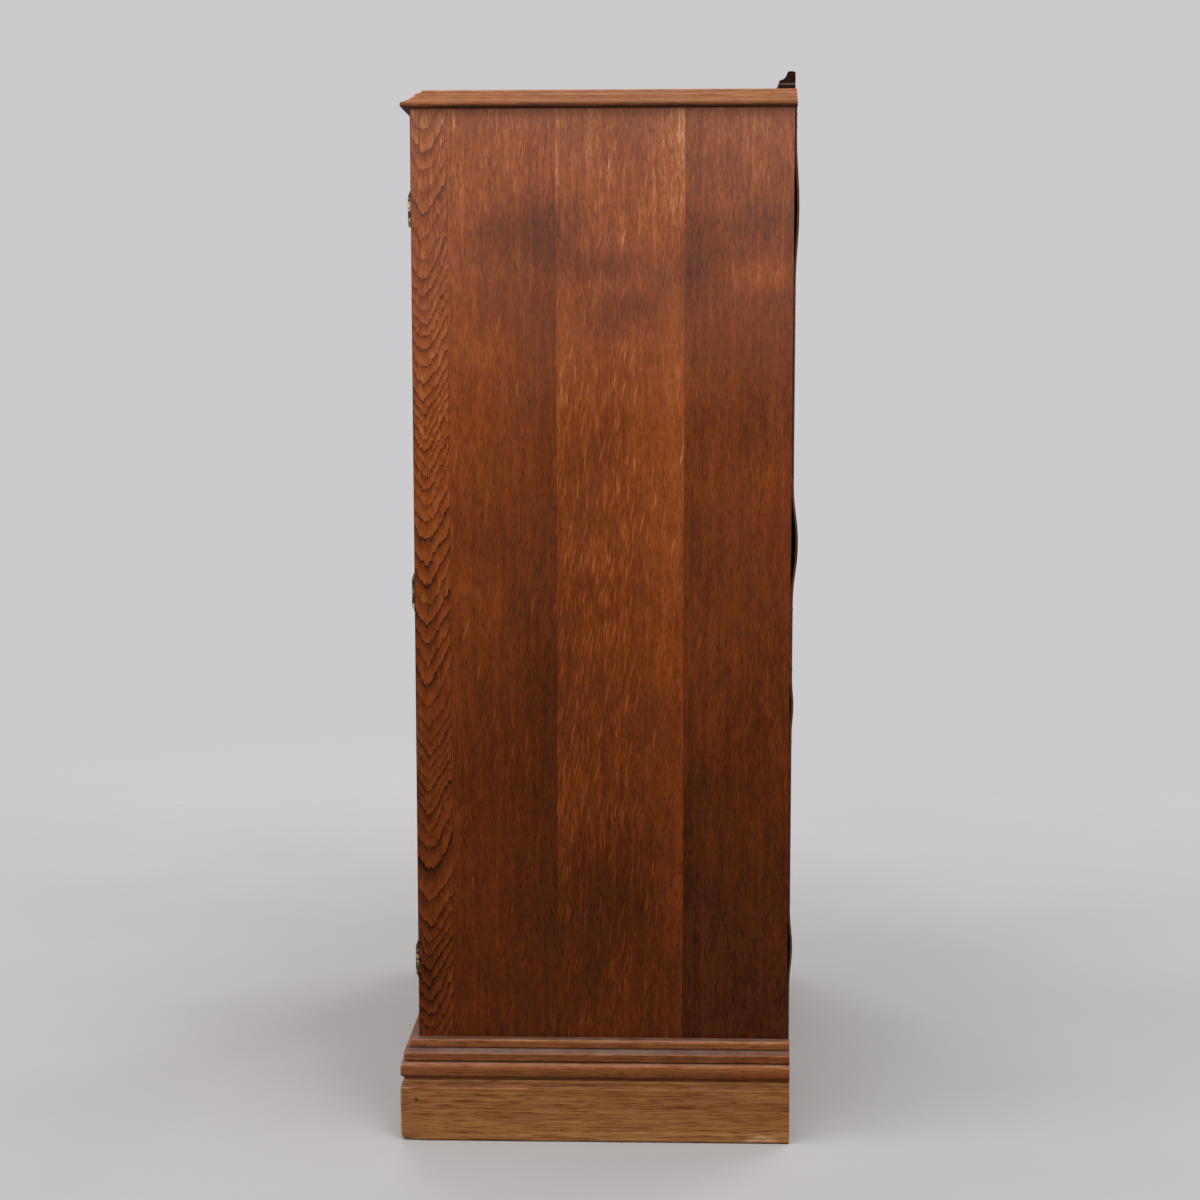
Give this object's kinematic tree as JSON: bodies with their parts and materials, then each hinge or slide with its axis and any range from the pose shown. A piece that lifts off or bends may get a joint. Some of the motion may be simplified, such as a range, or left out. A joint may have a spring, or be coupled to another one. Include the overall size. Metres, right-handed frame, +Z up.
{
  "type": "linen press",
  "caption": "Free-standing oak linen press: framed doors on brass hinges over fixed shelves, between a moulded top with a low upstand and a moulded base on a plinth.",
  "frame": {"origin": "on the floor, under the middle of the press's box", "axes": "+Z up, -Y out through the doors, +X towards the side of the door with the lock"},
  "size_m": [0.915, 0.5773, 1.524],
  "materials": {
    "side_oak": "stained and waxed oak, darker towards the foot",
    "top_oak": "stained oak worn lighter, waxed",
    "upstand_oak": "dark stained oak, end grain nearly black",
    "base_oak": "stained oak scuffed and worn lighter",
    "moulding_oak": "stained oak, edges rubbed lighter",
    "door_oak": "stained and waxed oak",
    "panel_oak": "stained and waxed oak, flat sawn",
    "inner_pine": "bare softwood, aged",
    "back_ply": "thin bare plywood, aged dark",
    "hinge_brass": "aged brass, dull",
    "fitting_brass": "aged brass, rubbed bright on high spots",
    "screw_brass": "aged brass",
    "nail_steel": "dull steel, lightly rusted",
    "lock_iron": "dark iron, worn bright on edges"
  },
  "bodies": {
    "carcass": {"right_side_panel": "side_oak", "left_side_panel": "side_oak", "moulded_top": "top_oak", "rear_upstand": "upstand_oak", "front_top_rail": "inner_pine", "rear_top_rail": "inner_pine", "bottom_board": "inner_pine", "front_base_rail": "inner_pine", "rear_base_rail": "inner_pine", "back_panel": "back_ply", "back_nails": "nail_steel", "plinth_front": "base_oak", "plinth_right": "base_oak", "plinth_left": "base_oak", "base_moulding_front": "moulding_oak", "base_moulding_right": "moulding_oak", "base_moulding_left": "moulding_oak", "glue_blocks": "inner_pine", "shelf_1": "inner_pine", "shelf_2": "inner_pine", "shelf_3": "inner_pine", "shelf_4": "inner_pine", "shelf_bearers": "inner_pine", "door_stops": "inner_pine", "right_hinge_carcass_leaves": "hinge_brass", "left_hinge_carcass_leaves": "hinge_brass", "right_hinge_pins": "hinge_brass", "left_hinge_pins": "hinge_brass", "carcass_hinge_screws": "screw_brass", "bolt_keepers": "fitting_brass"},
    "right_door": {"right_door_hinge_stile": "door_oak", "right_door_meeting_stile": "door_oak", "right_door_top_rail": "door_oak", "right_door_middle_rail": "door_oak", "right_door_bottom_rail": "door_oak", "right_door_upper_panel": "panel_oak", "right_door_lower_panel": "panel_oak", "right_hinge_door_leaves": "hinge_brass", "right_door_screws": "screw_brass", "right_knob": "fitting_brass", "lock_case": "lock_iron", "escutcheon": "fitting_brass"},
    "left_door": {"left_door_hinge_stile": "door_oak", "left_door_meeting_stile": "door_oak", "left_door_top_rail": "door_oak", "left_door_middle_rail": "door_oak", "left_door_bottom_rail": "door_oak", "left_door_upper_panel": "panel_oak", "left_door_lower_panel": "panel_oak", "left_hinge_door_leaves": "hinge_brass", "left_door_screws": "screw_brass", "left_knob": "fitting_brass", "lock_strike": "lock_iron", "bolt_guides": "fitting_brass"},
    "key": {"key": "lock_iron"},
    "lock_bolt": {"lock_bolt": "fitting_brass"},
    "upper_bolt": {"upper_bolt": "fitting_brass"},
    "lower_bolt": {"lower_bolt": "fitting_brass"}
  },
  "joints": [
    {"name": "right_door_hinge", "type": "hinge", "parent": "carcass", "child": "right_door", "pos_m": [0.411, -0.25715, 0.8], "axis": [0, 0, 1], "range_deg": [0, 170]},
    {"name": "left_door_hinge", "type": "hinge", "parent": "carcass", "child": "left_door", "pos_m": [-0.411, -0.25715, 0.8], "axis": [0, 0, -1], "range_deg": [0, 170]},
    {"name": "key_turn", "type": "hinge", "parent": "right_door", "child": "key", "pos_m": [0.0265, -0.25, 0.834], "axis": [0, 1, 0], "range_deg": [0, 180]},
    {"name": "lock_bolt_slide", "type": "slide", "parent": "right_door", "child": "lock_bolt", "axis": [-1, 0, 0], "range_m": [0, 0.01]},
    {"name": "upper_bolt_slide", "type": "slide", "parent": "left_door", "child": "upper_bolt", "axis": [0, 0, 1], "range_m": [0, 0.012]},
    {"name": "lower_bolt_slide", "type": "slide", "parent": "left_door", "child": "lower_bolt", "axis": [0, 0, -1], "range_m": [0, 0.012]}
  ],
  "couplings": [
    {"joint": "key_turn", "follows": "lock_bolt_slide", "rad_per_m": 314.16}
  ]
}
